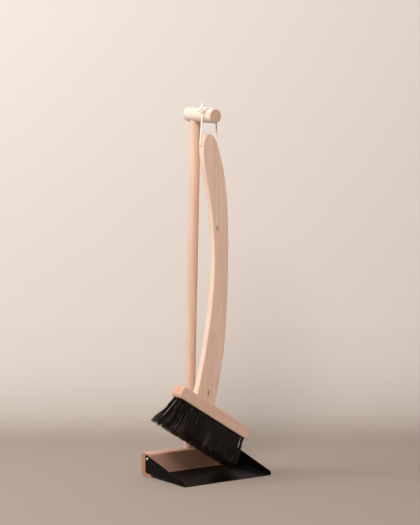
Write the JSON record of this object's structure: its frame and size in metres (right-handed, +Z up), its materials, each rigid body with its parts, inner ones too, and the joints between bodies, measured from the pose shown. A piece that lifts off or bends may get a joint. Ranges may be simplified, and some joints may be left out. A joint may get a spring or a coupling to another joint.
{
  "type": "dustpan and brush set",
  "caption": "Upright dustpan with a wooden back, tall pole and crossbar, and a long-handled hair brush that hangs from the crossbar on a cord loop.",
  "frame": {"origin": "on the ground, in the underside of the wooden back, under the point where the pole's axis meets its top", "axes": "+X along the pan's width, the pan's open front faces -Y, +Z up"},
  "size_m": [0.2743, 0.177, 0.8698],
  "materials": {
    "pan_steel": "semi-gloss black powder coat",
    "wood": "pale close-grained hardwood, oiled",
    "screw_steel": "bright zinc",
    "hair": "black-brown natural hair",
    "wire": "flat galvanised wire",
    "cord": "off-white braided cotton"
  },
  "bodies": {
    "dustpan": {"pan_sheet": "pan_steel", "back_block": "wood", "left_side_screw": "screw_steel", "right_side_screw": "screw_steel", "pole": "wood", "pole_screw": "screw_steel", "crossbar": "wood"},
    "cord_loop": {"hanging_cord": "cord", "cord_knot": "cord"},
    "brush": {"brush_handle": "wood", "brush_block": "wood", "handle_screws": "screw_steel", "bristle_row_1": "hair", "bristle_row_2": "hair", "bristle_row_3": "hair", "bristle_row_4": "hair", "bristle_row_5": "hair", "anchor_row_1": "wire", "anchor_row_2": "wire", "anchor_row_3": "wire", "anchor_row_4": "wire", "anchor_row_5": "wire"}
  },
  "joints": [
    {"name": "brush_unhook", "type": "slide", "parent": "dustpan", "child": "cord_loop", "axis": [0, -0.9397, 0.342], "range_m": [0, 0.09]},
    {"name": "brush_swing", "type": "hinge", "parent": "cord_loop", "child": "brush", "pos_m": [-0.005, -0.08188, 0.775], "axis": [-1, 0, 0], "range_deg": [-2, 60]}
  ]
}
